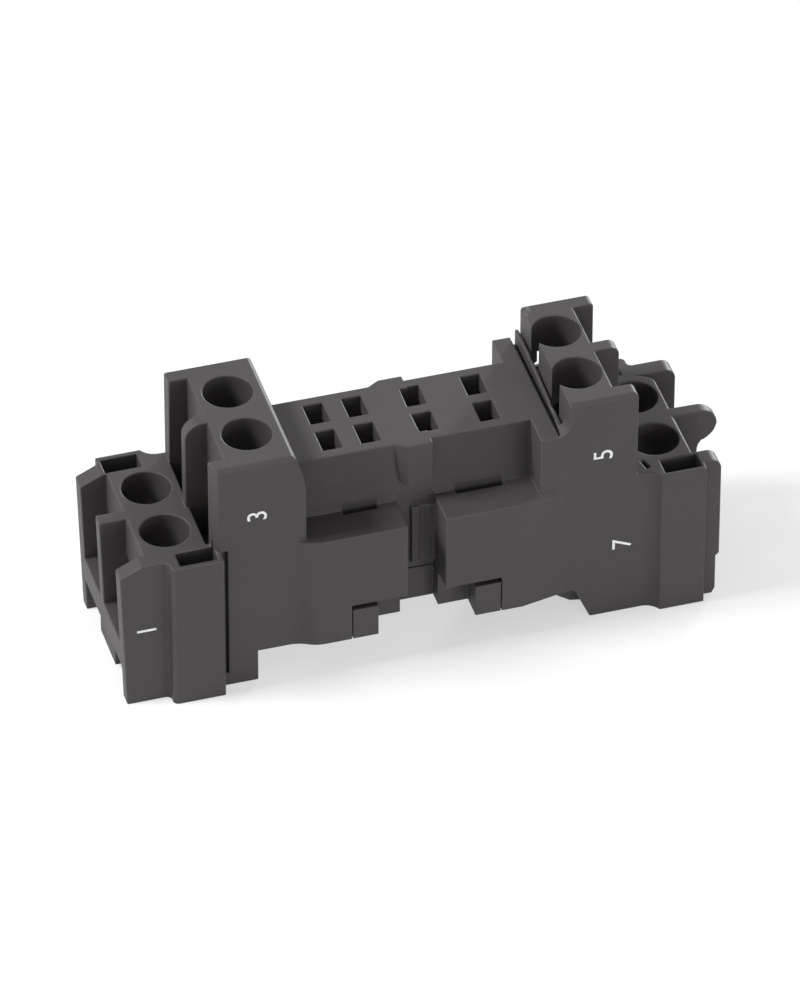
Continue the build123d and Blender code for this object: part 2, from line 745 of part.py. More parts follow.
def deck_notch():
    """A short slit in the right tier's deck, beside the front pocket."""
    slit = Box(NOTCH_LENGTH, NOTCH_WIDTH, POCKET_DEPTH, align=ON_BASE)
    x, y = NOTCH_AT
    return Pos(x, y, TIER_TOP - POCKET_DEPTH / 2) * Rot(0, 0, -NOTCH_TURN) * slit


def nose():
    """The divider between the right tier's wires, with its rounded nose."""
    end = HALF_LENGTH + NOSE_REACH
    root = HALF_LENGTH - NOSE_ROOT
    foot = (HALF_LENGTH + NOSE_NECK, NOSE_BOTTOM)
    low = NOSE_BOTTOM - NOSE_SWEEP
    outline = TangentArc((HALF_LENGTH, low), foot, tangent=(0, 1)) + ThreePointArc(
        foot, (end, (NOSE_BOTTOM + TIER_TOP) / 2), (HALF_LENGTH, TIER_TOP)
    ) + Polyline(
        (HALF_LENGTH, TIER_TOP), (root, TIER_TOP), (root, low), (HALF_LENGTH, low)
    )
    plan = Polyline(
        (root, -WIRE_HALF_GAP),
        (HALF_LENGTH, -WIRE_HALF_GAP),
        (end, -NOSE_TIP),
        (end, NOSE_TIP),
        (HALF_LENGTH, WIRE_HALF_GAP),
        (root, WIRE_HALF_GAP),
        close=True,
    )
    body = side_prism(outline, -WIRE_HALF_GAP, WIRE_HALF_GAP)
    return body & plan_prism(plan, 0, ABOVE)


def cover_room():
    """The recess in the underside that takes the base cover, with its windows."""
    room = block(
        RAIL_LEFT + COVER_INSET, RAIL_RIGHT - COVER_INSET,
        -COVER_HALF_WIDTH - COVER_GAP, COVER_HALF_WIDTH + COVER_GAP,
        BELOW, COVER_TOP + COVER_GAP,
    )
    window = block(
        TAB_IN - WINDOW_ROOM, TAB_OUT + COVER_GAP,
        0, PANEL_FACE + OVER, BELOW, TAB_TOP + WINDOW_HEADROOM,
    )
    return room + both_sides(half_turn(window))


def base_hollows():
    """The hollow undersides of both base ends."""
    inner = HALF_WIDTH - BASE_WALL
    left = block(-HALF_LENGTH - OVER, RAIL_LEFT, -inner, inner, BELOW, BASE_ROOF)
    right = block(
        HOOK_ROOT, HALF_LENGTH - BASE_WALL - 2 * END_SETBACK,
        -inner, inner, BELOW, BASE_ROOF,
    )
    return left + right


def rail_hook():
    """The fixed hook at the right end of the rail recess."""
    outline = Polyline(
        (HOOK_ROOT, HOOK_TOP - HOOK_THICK - HOOK_LEAD),
        (RAIL_RIGHT, HOOK_TOP - HOOK_THICK),
        (RAIL_RIGHT - HOOK_REACH, HOOK_TOP - HOOK_LEAD),
        (RAIL_RIGHT - HOOK_REACH, HOOK_TOP),
        (HOOK_ROOT, HOOK_TOP),
        close=True,
    )
    inner = HALF_WIDTH - BASE_WALL
    return side_prism(outline, -inner, inner)


def latch_guides():
    """The rails in the left hollow that carry the latch."""
    lip_top = LATCH_TOP - LATCH_FLANGE_THICK - LATCH_ROOM
    inner = LATCH_HALF_WIDTH + LATCH_ROOM
    outer = inner + LATCH_FLANGE
    section = Polyline(
        (inner, lip_top - GUIDE_LIP),
        (outer + GUIDE_WALL, lip_top - GUIDE_LIP),
        (outer + GUIDE_WALL, BASE_ROOF + INTO),
        (outer, BASE_ROOF + INTO),
        (outer, lip_top),
        (inner, lip_top),
        close=True,
    )
    arm_tip = ARM_ROOT - ARM_LENGTH
    guides = end_prism(section, GUIDE_INSET - HALF_LENGTH, arm_tip - GUIDE_INSET)
    guides += end_prism(section, ARM_ROOT + ROOT_ROOM, RAIL_LEFT)
    return both_sides(guides)


def housing():
    """The one-piece moulding that carries everything else."""
    solid = moulding_blank()
    solid += both_sides(left_panel() + right_panel())
    solid += half_turn(end_bulge() + tower_bulge())
    solid += spring_wall()
    solid += tower_root()
    solid -= side_pockets()
    solid -= long_edge_cuts()
    solid += divider_ends()
    solid -= rounded_corners()
    solid -= corner_cuts()
    solid -= spring_wall_cuts()
    solid -= back_relief()
    solid -= wire_spaces()
    solid -= land_corner()
    solid -= wells()
    solid -= blade_slots()
    solid -= contact_rooms()
    solid -= middle_channels()
    solid -= cover_room()
    solid -= base_hollows()
    solid -= half_turn(bulge_cuts())
    solid -= deck_notch()
    solid += clip_lugs()
    solid += nose()
    solid += rail_hook()
    solid += latch_guides()
    return solid


def base_cover():
    """The plate that closes the underside above the rail, with its four snap tabs."""
    inset = COVER_INSET + COVER_GAP
    plate = block(
        RAIL_LEFT + inset, RAIL_RIGHT - inset,
        -COVER_HALF_WIDTH, COVER_HALF_WIDTH, RAIL_DEPTH, COVER_TOP,
    )
    waist = block(GAP_LEFT, GAP_RIGHT, CHANNEL_BACK, PANEL_FACE, BELOW, ABOVE)
    tab = block(
        TAB_IN, TAB_OUT, COVER_HALF_WIDTH - INTO, PANEL_FACE - TAB_SUNK, RAIL_DEPTH, TAB_TOP
    )
    return plate - both_sides(waist) + both_sides(half_turn(tab))


def latch_arm():
    """One moulded spring arm, bearing on the side wall of the hollow."""
    flange_half = LATCH_HALF_WIDTH + LATCH_FLANGE
    reach = HALF_WIDTH - BASE_WALL - ARM_ROOM
    tip = ARM_ROOT - ARM_LENGTH
    arm = Polyline(
        (ARM_ROOT - ARM_THICK / 2, flange_half - ARM_THICK),
        (tip + ARM_TIP, reach - ARM_THICK),
        (tip, reach - ARM_THICK),
        (tip, reach),
        (tip + ARM_TIP + ARM_THICK / 2, reach),
        (ARM_ROOT, flange_half + ARM_THICK / 2),
        (ARM_ROOT, flange_half - ARM_THICK),
        close=True,
    )
    return plan_prism(arm, LATCH_TOP - LATCH_FLANGE_THICK, LATCH_TOP)


def rail_latch():
    """The slider that hooks under the rail's left edge, with two spring arms."""
    left = -HALF_LENGTH + LATCH_RECESS
    tip = RAIL_LEFT + LATCH_TIP
    shoulder = RAIL_LEFT - LATCH_SHOULDER
    profile = Polyline(
        (left, LATCH_BOTTOM),
        (shoulder, LATCH_BOTTOM),
        (tip, HOOK_TOP - LATCH_TIP_THICK),
        (tip, HOOK_TOP),
        (shoulder, HOOK_TOP),
        (shoulder, LATCH_TOP),
        (left, LATCH_TOP),
        close=True,
    )
    flange_half = LATCH_HALF_WIDTH + LATCH_FLANGE
    pull = left + LATCH_PULL_INSET
    body = side_prism(profile, -LATCH_HALF_WIDTH, LATCH_HALF_WIDTH)
    body += block(
        left + LATCH_RECESS, shoulder - LATCH_RECESS, -flange_half, flange_half,
        LATCH_TOP - LATCH_FLANGE_THICK, LATCH_TOP,
    )
    body -= block(
        pull, pull + LATCH_PULL_LENGTH, -LATCH_PULL_HALF, LATCH_PULL_HALF, BELOW, ABOVE
    )
    return body + both_sides(latch_arm())


def contact_leaf(side, floor):
    """Outline of one leaf of a blade contact, flared at its mouth."""
    top = SEAT_TOP - SEAT_SKIN - LEAF_BELOW
    inner = BLADE_GAP / 2
    outer = inner + LEAF_THICK
    return Polyline(
        (side * inner, floor),
        (side * outer, floor),
        (side * outer, top - LEAF_LEAD),
        (side * (outer + LEAF_FLARE), top),
        (side * (inner + LEAF_FLARE), top),
        (side * inner, top - LEAF_LEAD),
        close=True,
    )


def terminal_strip(well, row, outward, floor):
    """One stamped strip: a threaded plate, an arm and a two-leaf blade contact."""
    y = row * ROW_OFFSET
    slot_y = row * SLOT_ROW
    x = contact_column(outward, floor)
    half_contact = BLADE_GAP / 2 + LEAF_THICK
    strip = block(
        well - PLATE_LENGTH / 2, well + PLATE_LENGTH / 2,
        y - PLATE_WIDTH / 2, y + PLATE_WIDTH / 2, floor, floor + PLATE_THICK,
    )
    strip += block(
        x - outward * half_contact, arm_start(well, outward) + outward * PLATE_THICK,
        slot_y - ARM_WIDTH / 2, slot_y + ARM_WIDTH / 2, floor, floor + STRIP_THICK,
    )
    strip += block(
        x - half_contact, x + half_contact,
        slot_y - LEAF_WIDTH / 2, slot_y + LEAF_WIDTH / 2, floor, floor + STRIP_THICK,
    )
    for side in (-1, 1):
        leaf = side_prism(
            contact_leaf(side, floor), slot_y - LEAF_WIDTH / 2, slot_y + LEAF_WIDTH / 2
        )
        strip += Pos(x, 0, 0) * leaf
    thread = Cylinder(SCREW_RADIUS + SCREW_ROOM, 4 * PLATE_THICK)
    return strip - Pos(well, y, floor) * thread


def clamp_plate(well, row, floor):
    """The captive square plate that presses the wire onto the strip."""
    z = floor + PLATE_THICK + CLAMP_GAP
    y = row * ROW_OFFSET
    plate = block(
        well - CLAMP_LENGTH / 2, well + CLAMP_LENGTH / 2,
        y - PLATE_WIDTH / 2, y + PLATE_WIDTH / 2, z, z + CLAMP_THICK,
    )
    hole = Cylinder(SCREW_RADIUS + 2 * SCREW_ROOM, 4 * CLAMP_THICK)
    return plate - Pos(well, y, z) * hole


def terminal_screw(well, row, floor):
    """A pan-head screw with a cross slot, seated on its clamp plate."""
    head = Cylinder(SCREW_HEAD_RADIUS, SCREW_HEAD_HEIGHT, align=ON_BASE)
    head = chamfer(head.edges().group_by(Axis.Z)[-1], SCREW_HEAD_EDGE)
    shank = Cylinder(SCREW_RADIUS, SCREW_LENGTH, align=ON_BASE)
    bar = Box(DRIVE_LENGTH, DRIVE_WIDTH, 2 * DRIVE_DEPTH)
    cross = Pos(0, 0, SCREW_HEAD_HEIGHT) * (bar + Rot(0, 0, 90) * bar)
    screw = head + Pos(0, 0, -SCREW_LENGTH) * shank - cross
    return Pos(well, row * ROW_OFFSET, screw_seat(floor)) * screw


def write(solid, name):
    """Write one sub-part, moved so that the origin is under the overall middle."""
    pieces = (Pos(-ORIGIN_X, 0, 0) * solid).solids()
    shape = pieces[0] if len(pieces) == 1 else Compound(children=list(pieces))
    shape.label = name
    export_step(shape, f"parts/{name}.step")
    print(name, len(pieces), round(sum(p.volume for p in pieces), 1))


def main():
    os.makedirs("parts", exist_ok=True)
    write(housing(), "housing")
    write(base_cover(), "base_cover")
    write(rail_latch(), "rail_latch")
    for number, well, row, outward, floor in terminals():
        write(terminal_strip(well, row, outward, floor), f"terminal_strip_{number}")
        write(clamp_plate(well, row, floor), f"clamp_plate_{number}")
        write(terminal_screw(well, row, floor), f"terminal_screw_{number}")


main()
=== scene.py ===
# %% [markdown]
# # A relay socket for a mounting rail
# This lesson dresses a finished CAD model for a picture. The socket is moulded in charcoal black
# plastic, with screw terminals in two steps at each end and a seat with blade slots between them.
# The CAD model already has every solid at its real size, so Blender adds what a solid model lacks:
# softened edges, the grain of the mould, the print, the metal finishes, the light and the camera.

# %% Load the model
import math

import bmesh
import bpy
from mathutils import Euler, Matrix, Vector, kdtree


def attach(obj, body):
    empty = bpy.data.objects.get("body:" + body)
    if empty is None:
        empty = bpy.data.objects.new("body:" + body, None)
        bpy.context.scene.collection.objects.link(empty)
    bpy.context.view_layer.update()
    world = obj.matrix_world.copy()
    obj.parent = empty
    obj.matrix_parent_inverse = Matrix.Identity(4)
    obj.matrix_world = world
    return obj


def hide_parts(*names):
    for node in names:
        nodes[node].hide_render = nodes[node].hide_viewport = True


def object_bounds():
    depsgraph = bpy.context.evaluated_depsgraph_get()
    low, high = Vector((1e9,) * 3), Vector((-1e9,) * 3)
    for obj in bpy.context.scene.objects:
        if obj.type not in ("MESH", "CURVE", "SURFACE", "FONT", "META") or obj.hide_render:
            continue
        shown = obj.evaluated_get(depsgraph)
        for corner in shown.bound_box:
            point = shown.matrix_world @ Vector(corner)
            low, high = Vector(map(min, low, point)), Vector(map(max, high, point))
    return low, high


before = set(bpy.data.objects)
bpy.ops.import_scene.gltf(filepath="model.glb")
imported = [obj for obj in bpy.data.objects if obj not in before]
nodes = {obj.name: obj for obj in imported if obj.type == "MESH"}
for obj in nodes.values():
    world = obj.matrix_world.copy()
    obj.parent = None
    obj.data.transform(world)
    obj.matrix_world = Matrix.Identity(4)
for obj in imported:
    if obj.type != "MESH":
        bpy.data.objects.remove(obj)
cad_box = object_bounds()
MM = 0.001
size_mm = [round((high - low) / MM, 2) for low, high in zip(*cad_box)]
print("CAD pieces:", len(nodes), "overall size in mm:", size_mm)

# %% [markdown]
# ## Helpers for materials
# Colours are easiest to judge as the hex values of a picture editor, but Blender's shaders work
# with linear light, so one function turns one into the other. Another adds a shader node with its
# settings and its links in one call, which keeps each material short enough to read at a glance.
# The Mix node's colour sockets share their names with its other sockets, so they go by number.

# %% Material helpers
FACTOR, FIRST, SECOND, MIXED = 0, 6, 7, 2    # the Mix node's inputs, and its output, for colours


def linear(hex_code):
    """A picture editor's colour, such as 4d4a4b, as linear red, green, blue and alpha."""
    channels = [int(hex_code[i:i + 2], 16) / 255 for i in (0, 2, 4)]
    curve = [c / 12.92 if c <= 0.04045 else ((c + 0.055) / 1.055) ** 2.4 for c in channels]
    return (*curve, 1.0)


def add(tree, kind, settings=None, links=None):
    """One node: settings go on its sockets or properties, links bring other nodes' outputs in."""
    node = tree.nodes.new(kind)
    for name, value in (settings or {}).items():
        if isinstance(name, int) or name in node.inputs:
            node.inputs[name].default_value = value
        else:
            setattr(node, name, value)
    for name, (source, output) in (links or {}).items():
        tree.links.new(source.outputs[output], node.inputs[name])
    return node


def new_material(name):
    """An empty material and its node tree."""
    material = bpy.data.materials.new(name)
    material.use_nodes = True
    material.node_tree.nodes.clear()
    return material, material.node_tree


print("middle grey in linear light:", round(linear("808080")[0], 3))

# %% [markdown]
# ## Moulded glass-filled nylon
# The housing, the base cover and the latch are injection moulded in polyamide with glass fibre,
# coloured charcoal in the mass. The mould is spark eroded, which leaves a fine matt grain, so the
# light spreads into a soft sheen with no sharp reflections. The glass makes the surface a little
# uneven in gloss. The edges are painted a shade lighter, a painted highlight for the line of light
# that a rounded edge catches. Three noises do the rest: the grain as a bump, faint clouds in
# colour, and patches of gloss. A Bevel node finds the edges: where its rounded normal turns away
# from the true one, the painted highlight shows.

# %% Charcoal plastic
GRAIN = 0.16 * MM             # spark grain is about 0.05 mm; drawn coarser so that it shows
GRAIN_DEPTH = 0.02 * MM
CLOUD = 7.0 * MM              # size of the faint patches in colour
CLOUD_SHADES = (0.9, 1.1)     # the darkest and the lightest cloud, as a share of the colour
GLOSS_PATCH = 1.6 * MM        # size of the patches in gloss
NOISE_MIDDLE = (0.3, 0.7)     # most values of a noise lie between these
ROUGHNESS = (0.54, 0.59)      # the glossiest and the dullest patch
SHEEN = 0.25                  # half of a smooth surface's gloss, because the grain scatters it
EDGE_HIGHLIGHT_BAND = 0.22 * MM       # how far in from an edge the painted highlight reaches
EDGE_HIGHLIGHT_TURN = (0.995, 0.8)    # cosine of the normal's turn where the painted highlight starts and is full
EDGE_HIGHLIGHT_SHARE = 0.55           # how much of the lighter colour, the painted highlight, shows there


def moulded_plastic(name, body_hex, edge_highlight_hex):
    """Glass-filled nylon: matt grain, faint clouds, and a painted highlight along the edges."""
    material, tree = new_material(name)
    place = add(tree, "ShaderNodeTexCoord")
    clouds = add(tree, "ShaderNodeTexNoise", {"Scale": 1 / CLOUD, "Detail": 3.0},
                 {"Vector": (place, "Object")})
    grain = add(tree, "ShaderNodeTexNoise", {"Scale": 1 / GRAIN, "Detail": 2.0},
                {"Vector": (place, "Object")})
    patches = add(tree, "ShaderNodeTexNoise", {"Scale": 1 / GLOSS_PATCH, "Detail": 4.0},
                  {"Vector": (place, "Object")})
    shade = add(tree, "ShaderNodeMapRange",
                {"To Min": CLOUD_SHADES[0], "To Max": CLOUD_SHADES[1]},
                {"Value": (clouds, "Fac")})
    colour = add(tree, "ShaderNodeMix",
                 {"data_type": "RGBA", "blend_type": "MULTIPLY", FACTOR: 1.0,
                  FIRST: linear(body_hex)},
                 {SECOND: (shade, "Result")})
    rounded = add(tree, "ShaderNodeBevel", {"samples": 6, "Radius": EDGE_HIGHLIGHT_BAND})
    flat = add(tree, "ShaderNodeNewGeometry")
    facing = add(tree, "ShaderNodeVectorMath", {"operation": "DOT_PRODUCT"},
                 {0: (rounded, "Normal"), 1: (flat, "True Normal")})
    # Painted highlight: the colour turns lighter along the edges, where the rounded normal leaves
    # the true one.
    edge_highlight_mask = add(tree, "ShaderNodeMapRange",
                 {"From Min": EDGE_HIGHLIGHT_TURN[0], "From Max": EDGE_HIGHLIGHT_TURN[1],
                  "To Max": EDGE_HIGHLIGHT_SHARE},
                 {"Value": (facing, "Value")})
    colour_with_edge_highlight = add(tree, "ShaderNodeMix", {"data_type": "RGBA", SECOND: linear(edge_highlight_hex)},
               {FACTOR: (edge_highlight_mask, "Result"), FIRST: (colour, MIXED)})
    gloss = add(tree, "ShaderNodeMapRange",
                {"From Min": NOISE_MIDDLE[0], "From Max": NOISE_MIDDLE[1],
                 "To Min": ROUGHNESS[0], "To Max": ROUGHNESS[1]},
                {"Value": (patches, "Fac")})
    bump = add(tree, "ShaderNodeBump", {"Strength": 0.35, "Distance": GRAIN_DEPTH},
               {"Height": (grain, "Fac"), "Normal": (rounded, "Normal")})
    shader = add(tree, "ShaderNodeBsdfPrincipled", {"IOR": 1.53, "Specular IOR Level": SHEEN},
                 {"Base Color": (colour_with_edge_highlight, MIXED), "Roughness": (gloss, "Result"),
                  "Normal": (bump, "Normal")})
    add(tree, "ShaderNodeOutputMaterial", links={"Surface": (shader, "BSDF")})
    return material


# The second colour of each plastic is the painted highlight along its edges.
charcoal = moulded_plastic("charcoal_glass_filled_nylon", "3f3c3d", "6b6768")
latch_black = moulded_plastic("charcoal_acetal_latch", "393637", "646060")
print("plastics:", charcoal.name, latch_black.name)

# %% [markdown]
# ## Metals of the terminals
# The contact strips are stamped from brass and tin-nickel plated, the clamp plates and screws are
# steel with a thin zinc coat. All three keep the default index of refraction, as metals do, and
# differ in colour and roughness. A stretched noise gives the strips their rolling lines, and a
# fine cloudy noise dulls the zinc, because plating on small parts is tumbled in a drum.

# %% Plated metals
ROLLING_LINE = 0.12 * MM      # width of the lines that the rolls leave on the strip
ZINC_BLOOM = 0.5 * MM         # size of the dull clouds in the zinc
GLOSS_SWING = 0.1             # how far the roughness moves either way
METAL_SHADES = (0.86, 1.06)   # the dullest and the brightest spot, as a share of the colour
PLATING_DEPTH = 0.01 * MM


def plated_metal(name, hex_code, roughness, pattern_size, stretch):
    """A thin bright coat: a base colour with a fine pattern in its gloss."""
    material, tree = new_material(name)
    place = add(tree, "ShaderNodeTexCoord")
    turned = add(tree, "ShaderNodeMapping", {"Scale": (1.0, stretch, stretch)},
                 {"Vector": (place, "Object")})
    pattern = add(tree, "ShaderNodeTexNoise", {"Scale": 1 / pattern_size, "Detail": 3.0},
                  {"Vector": (turned, "Vector")})
    gloss = add(tree, "ShaderNodeMapRange",
                {"To Min": roughness - GLOSS_SWING, "To Max": roughness + GLOSS_SWING},
                {"Value": (pattern, "Fac")})
    tone = add(tree, "ShaderNodeMapRange",
               {"To Min": METAL_SHADES[0], "To Max": METAL_SHADES[1]},
               {"Value": (pattern, "Fac")})
    colour = add(tree, "ShaderNodeMix",
                 {"data_type": "RGBA", "blend_type": "MULTIPLY", FACTOR: 1.0,
                  FIRST: linear(hex_code)},
                 {SECOND: (tone, "Result")})
    bump = add(tree, "ShaderNodeBump", {"Strength": 0.15, "Distance": PLATING_DEPTH},
               {"Height": (pattern, "Fac")})
    shader = add(tree, "ShaderNodeBsdfPrincipled", {"Metallic": 1.0},
                 {"Base Color": (colour, MIXED), "Roughness": (gloss, "Result"),
                  "Normal": (bump, "Normal")})
    add(tree, "ShaderNodeOutputMaterial", links={"Surface": (shader, "BSDF")})
    return material


TERMINAL_METALS = {  # the CAD pieces of each terminal, and their metal
    "terminal_strip": plated_metal("nickel_plated_brass_strip", "c9bfa6", 0.32, ROLLING_LINE, 8.0),
    "clamp_plate": plated_metal("zinc_plated_steel_plate", "b9b8b4", 0.42, ZINC_BLOOM, 1.0),
    "terminal_screw": plated_metal("zinc_plated_steel_screw", "b4b4b2", 0.36, ZINC_BLOOM, 1.0),
}
TERMINALS = range(1, 9)


def paint(node, material):
    """Puts one material in every slot of a CAD piece."""
    if not nodes[node].material_slots:
        nodes[node].data.materials.append(material)
    for slot in nodes[node].material_slots:
        slot.material = material


for number in TERMINALS:
    for part, metal in TERMINAL_METALS.items():
        paint(f"{part}_{number}", metal)
print("painted the metal of", len(TERMINALS), "terminals")

# %% [markdown]
# ## Softened edges
# A mould is never perfectly sharp, and every outer edge of the real socket carries a thin line of
# light. The CAD solid has sharp edges, so a copy of it is merged, its flat faces are joined back to
# whole faces, and the outer edges are bevelled. A Bevel modifier would do every edge alike, and
# tear the small steps and notches where two bevels meet. So the copy is bevelled in code, and an
# edge with another corner closer than the bevel needs stays sharp. Where a curved wall runs into a
# flat face, the larger face decides the shading at their seam, so the flat face stays even. The
# copy then stands for the CAD piece.

# %% Edge rounding
WELD = 0.002 * MM                # corners closer than this are one corner
FLAT = math.radians(0.5)         # faces that meet at less than this lie in one plane
CURVE_STEP = math.radians(10)    # a curved wall turns by less than this from facet to facet
CORNER = math.radians(35)        # an edge that turns by more than this is worth rounding
ELBOW_ROOM = 1.6                 # free space round a bevelled edge, in bevel widths
MOULDINGS = (  # CAD piece, its plastic, its body, its material slot, its bevel's width
    ("housing", charcoal, "body", "housing_plastic", 0.12 * MM),
    ("base_cover", charcoal, "body", "cover_plastic", 0.08 * MM),
    ("rail_latch", latch_black, "latch", "latch_plastic", 0.08 * MM),
)
scene = bpy.context.scene


def roomy_edges(shape, width):
    """The outward edges that no other corner comes near, all along their length."""
    corners = kdtree.KDTree(len(shape.verts))
    for vertex in shape.verts:
        corners.insert(vertex.co, vertex.index)
    corners.balance()
    reach = ELBOW_ROOM * width
    roomy = []
    for edge in shape.edges:
        if not edge.is_convex or edge.calc_face_angle() < CORNER:
            continue
        start, end = edge.verts
        steps = max(1, int(edge.calc_length() / width))
        along = [start.co.lerp(end.co, step / steps) for step in range(steps + 1)]
        near = {found[1] for point in along for found in corners.find_range(point, reach)}
        if near <= {start.index, end.index}:
            roomy.append(edge)
    return roomy


def softened(node, material, body, slot, width):
    """Makes a copy of a CAD piece with rounded edges, which is shown instead of it."""
    piece = bpy.data.objects.new(f"{node}_moulding", nodes[node].data.copy())
    scene.collection.objects.link(piece)
    shape = bmesh.new()
    shape.from_mesh(piece.data)
    bmesh.ops.remove_doubles(shape, verts=shape.verts, dist=WELD)
    bmesh.ops.dissolve_limit(shape, angle_limit=FLAT, verts=shape.verts, edges=shape.edges)
    shape.verts.index_update()
    edges = roomy_edges(shape, width)
    bmesh.ops.bevel(shape, geom=edges, offset=width, offset_type="OFFSET", affect="EDGES",
                    segments=3, profile=0.5, material=-1, clamp_overlap=False)
    shape.to_mesh(piece.data)
    shape.free()
    piece.data.materials.clear()
    piece.data.materials.append(material)
    piece.data.shade_smooth()
    piece.data.set_sharp_from_angle(angle=CURVE_STEP)
    even = piece.modifiers.new("flat_faces_shade_flat", "WEIGHTED_NORMAL")
    even.keep_sharp = True
    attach(piece, body)
    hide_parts(node)
    print(piece.name, "edges rounded:", len(edges), "faces:", len(piece.data.polygons))


for moulding in MOULDINGS:
    softened(*moulding)

# %% [markdown]
# ## Terminal numbers
# The real socket is pad printed in white: a soft pad presses a film of ink about 0.01 mm thick on
# the flat faces. This one carries plain numbers only, 1 to 8, each on the face beside its terminal,
# reading upwards. A number is a text object made into a mesh, then turned and moved in its mesh.

# %% Printed numbers
INK = 0.01 * MM
INK_COVER = (0.3, 0.55)      # the ink thins where the grain's noise is lower than this
INK_THINNEST = 0.45          # how much of the white is left there
NUMBER_HEIGHT = 2.2 * MM
DIGIT_SHARE = 0.7            # a digit's height as a share of the font's size
NUMBERS = {  # place along the length and up in mm, and the face's distance from the middle
    1: (-32.1, 9.9, 9.19), 3: (-19.6, 23.0, 9.19), 5: (19.4, 22.5, 9.19), 7: (21.7, 9.5, 9.19),
    2: (-30.1, 9.9, 10.34), 4: (-20.4, 23.0, 9.19), 6: (20.3, 23.0, 9.19), 8: (19.6, 9.5, 9.19),
}


def ink_material():
    """Pad-printing ink: chalky white, a little thin and speckled where the grain shows."""
    material, tree = new_material("white_pad_print_ink")
    place = add(tree, "ShaderNodeTexCoord")
    speckle = add(tree, "ShaderNodeTexNoise", {"Scale": 1 / GRAIN, "Detail": 3.0},
                  {"Vector": (place, "Object")})
    cover = add(tree, "ShaderNodeMapRange",
                {"From Min": INK_COVER[0], "From Max": INK_COVER[1], "To Min": INK_THINNEST},
                {"Value": (speckle, "Fac")})
    colour = add(tree, "ShaderNodeMix",
                 {"data_type": "RGBA", FIRST: linear("8f8b8b"), SECOND: linear("e4e4e2")},
                 {FACTOR: (cover, "Result")})
    shader = add(tree, "ShaderNodeBsdfPrincipled", {"Roughness": 0.55},
                 {"Base Color": (colour, MIXED)})
    add(tree, "ShaderNodeOutputMaterial", links={"Surface": (shader, "BSDF")})
    return material


def printed_number(number, along, up, face, ink):
    """One number on the front face if it is odd, or on the back face if it is even."""
    side = -1 if number % 2 else 1
    text = bpy.data.curves.new(f"print_{number}", "FONT")
    text.body = str(number)
    text.size = NUMBER_HEIGHT / DIGIT_SHARE
    text.extrude = INK / 2
    text.resolution_u = 6
    text.align_x = "CENTER"
    text.align_y = "CENTER"
    holder = bpy.data.objects.new(f"number_{number}_text", text)
    scene.collection.objects.link(holder)
    depsgraph = bpy.context.evaluated_depsgraph_get()
    mesh = bpy.data.meshes.new_from_object(holder.evaluated_get(depsgraph))
    bpy.data.objects.remove(holder)
    # The text's right goes up the face, its thickness out of it.
    turn = Matrix(((0, side, 0), (0, 0, side), (1, 0, 0))).to_4x4()
    place = Matrix.Translation((along * MM, side * (face * MM + INK / 2), up * MM))
    mesh.transform(place @ turn)
    mesh.materials.clear()
    mesh.materials.append(ink)
    piece = bpy.data.objects.new(f"number_{number}", mesh)
    scene.collection.objects.link(piece)
    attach(piece, "body")


ink = ink_material()
for number, (along, up, face) in NUMBERS.items():
    printed_number(number, along, up, face, ink)
print("numbers printed:", len(NUMBERS))

# %% [markdown]
# ## Pale floor
# The socket stands on a plain sheet of matt studio paper. A real sheet would turn grey in the
# picture, so this one shows itself to the camera as almost white, which keeps the background clean.
# Only near the socket does more of the real paper show, so that it still takes the soft shadow.

# %% Floor
FLOOR_RADIUS = 3.0
FLOOR_SIDES = 96
FLOOR_DROP = 0.02 * MM          # keeps the paper just clear of the socket's base
FIBRE = 0.8 * MM                # size of the paper's faint mottling
PAPER_TONES = (0.84, 0.88)      # the darkest and the lightest of it
SHADOW_REACH = (0.03, 0.16)     # metres from the middle where the white starts and is full
WHITE_NEAR = 0.55               # how much of the white is left close to the socket
WHITE = (1, 1, 1, 1)


def looked_at(tree):
    """1 for a ray that looks at the background: the camera's, or one through gloss or glass."""
    ray = add(tree, "ShaderNodeLightPath")
    seen = add(tree, "ShaderNodeMath", {"operation": "MAXIMUM"},
               {0: (ray, "Is Camera Ray"), 1: (ray, "Is Glossy Ray")})
    return add(tree, "ShaderNodeMath", {"operation": "MAXIMUM"},
               {0: (seen, "Value"), 1: (ray, "Is Transmission Ray")})


def floor_material():
    """Pale matt paper, which glows towards the camera except near the socket."""
    material, tree = new_material("pale_studio_paper")
    place = add(tree, "ShaderNodeTexCoord")
    fibre = add(tree, "ShaderNodeTexNoise", {"Scale": 1 / FIBRE, "Detail": 2.0},
                {"Vector": (place, "Object")})
    tone = add(tree, "ShaderNodeMapRange",
               {"To Min": PAPER_TONES[0], "To Max": PAPER_TONES[1]},
               {"Value": (fibre, "Fac")})
    paper = add(tree, "ShaderNodeBsdfDiffuse", links={"Color": (tone, "Result")})
    glow = add(tree, "ShaderNodeEmission", {"Color": WHITE, "Strength": 1.0})
    distance = add(tree, "ShaderNodeVectorMath", {"operation": "LENGTH"}, {0: (place, "Object")})
    spread = add(tree, "ShaderNodeMapRange",
                 {"From Min": SHADOW_REACH[0], "From Max": SHADOW_REACH[1],
                  "To Min": WHITE_NEAR},
                 {"Value": (distance, "Value")})
    share = add(tree, "ShaderNodeMath", {"operation": "MULTIPLY"},
                {0: (looked_at(tree), "Value"), 1: (spread, "Result")})
    mix = add(tree, "ShaderNodeMixShader",
              links={0: (share, "Value"), 1: (paper, "BSDF"), 2: (glow, "Emission")})
    add(tree, "ShaderNodeOutputMaterial", links={"Surface": (mix, "Shader")})
    return material


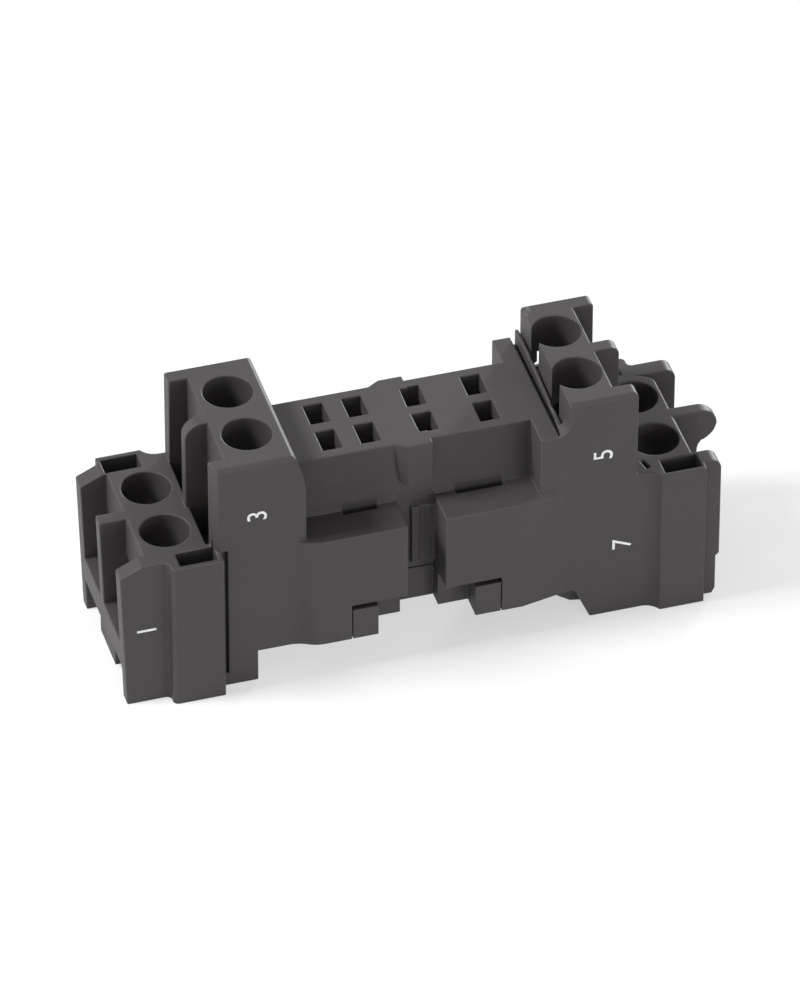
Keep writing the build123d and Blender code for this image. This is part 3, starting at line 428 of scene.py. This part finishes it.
disc = bmesh.new()
bmesh.ops.create_circle(disc, cap_ends=True, segments=FLOOR_SIDES, radius=FLOOR_RADIUS)
bmesh.ops.translate(disc, verts=disc.verts, vec=(0, 0, -FLOOR_DROP))
floor_mesh = bpy.data.meshes.new("studio_floor")
disc.to_mesh(floor_mesh)
disc.free()
floor_mesh.materials.append(floor_material())
floor = bpy.data.objects.new("studio_floor", floor_mesh)
scene.collection.objects.link(floor)
print("floor radius in m:", FLOOR_RADIUS)

# %% [markdown]
# ## Surrounding and lamps
# The surrounding is an even white, weaker as a light than as a background, so that it fills the
# shadows without flattening them. The main light is a key lamp high on the left, so the tops are
# the lightest faces. A weak lamp in front and another low on the right lift the upright faces.
# A small low lamp behind on the right only grazes the rounded edges, and draws the white lines
# along them.

# %% World and lamps
WORLD_STRENGTH = 0.46
SOCKET_MIDDLE = Vector((0, 0, 0.015))
LAMPS = {  # place and width in metres, power in watts
    "key_lamp": {"place": (-0.8, 0.1, 0.85), "size": 0.35, "power": 15.5},
    "front_lamp": {"place": (0.1, -1.1, 0.2), "size": 0.6, "power": 1.0},
    "low_right_lamp": {"place": (0.22, -0.45, 0.06), "size": 0.25, "power": 0.8},
    "rim_lamp": {"place": (0.68, 0.76, 0.14), "size": 0.12, "power": 9.5},
}

world = bpy.data.worlds.new("white_studio")
scene.world = world
world.use_nodes = True
tree = world.node_tree
tree.nodes.clear()
strength = add(tree, "ShaderNodeMapRange", {"To Min": WORLD_STRENGTH, "To Max": 1.0},
               {"Value": (looked_at(tree), "Value")})
light = add(tree, "ShaderNodeBackground", {"Color": WHITE}, {"Strength": (strength, "Result")})
add(tree, "ShaderNodeOutputWorld", links={"Surface": (light, "Background")})

for name, lamp in LAMPS.items():
    data = bpy.data.lights.new(name, "AREA")
    data.shape = "DISK"
    data.size = lamp["size"]
    data.energy = lamp["power"]
    holder = bpy.data.objects.new(name, data)
    holder.location = lamp["place"]
    aim = SOCKET_MIDDLE - holder.location
    holder.rotation_euler = aim.to_track_quat("-Z", "Y").to_euler()
    scene.collection.objects.link(holder)
print("lamps:", ", ".join(LAMPS))

# %% [markdown]
# ## Camera
# The picture was taken from about a metre away with a long lens, so upright edges stay parallel.
# The camera is placed by what it looks at, how far it stands off, and two angles.

# %% Camera
TARGET = Vector((0.00088, 0.00619, 0.00839))
STAND_OFF = 1.064
AZIMUTH = math.radians(-16.6)
ELEVATION = math.radians(39.29)
ROLL = math.radians(0.07)
SENSOR_WIDTH = 36.0             # mm, as in a full-frame camera
FOCAL_LENGTH = 348.09           # mm

back = Vector((
    math.sin(AZIMUTH) * math.cos(ELEVATION),
    -math.cos(AZIMUTH) * math.cos(ELEVATION),
    math.sin(ELEVATION),
))
lens = bpy.data.cameras.new("camera")
lens.sensor_width = SENSOR_WIDTH
lens.lens = FOCAL_LENGTH
lens.clip_start = 0.01
lens.clip_end = 20.0
camera = bpy.data.objects.new("camera", lens)
camera.rotation_mode = "QUATERNION"
camera.location = TARGET + back * STAND_OFF
camera.rotation_quaternion = (-back).to_track_quat("-Z", "Y") @ Euler((0, 0, ROLL)).to_quaternion()
scene.collection.objects.link(camera)
scene.camera = camera
scene.view_settings.view_transform = "Standard"
print("camera at:", [round(value, 3) for value in camera.location])
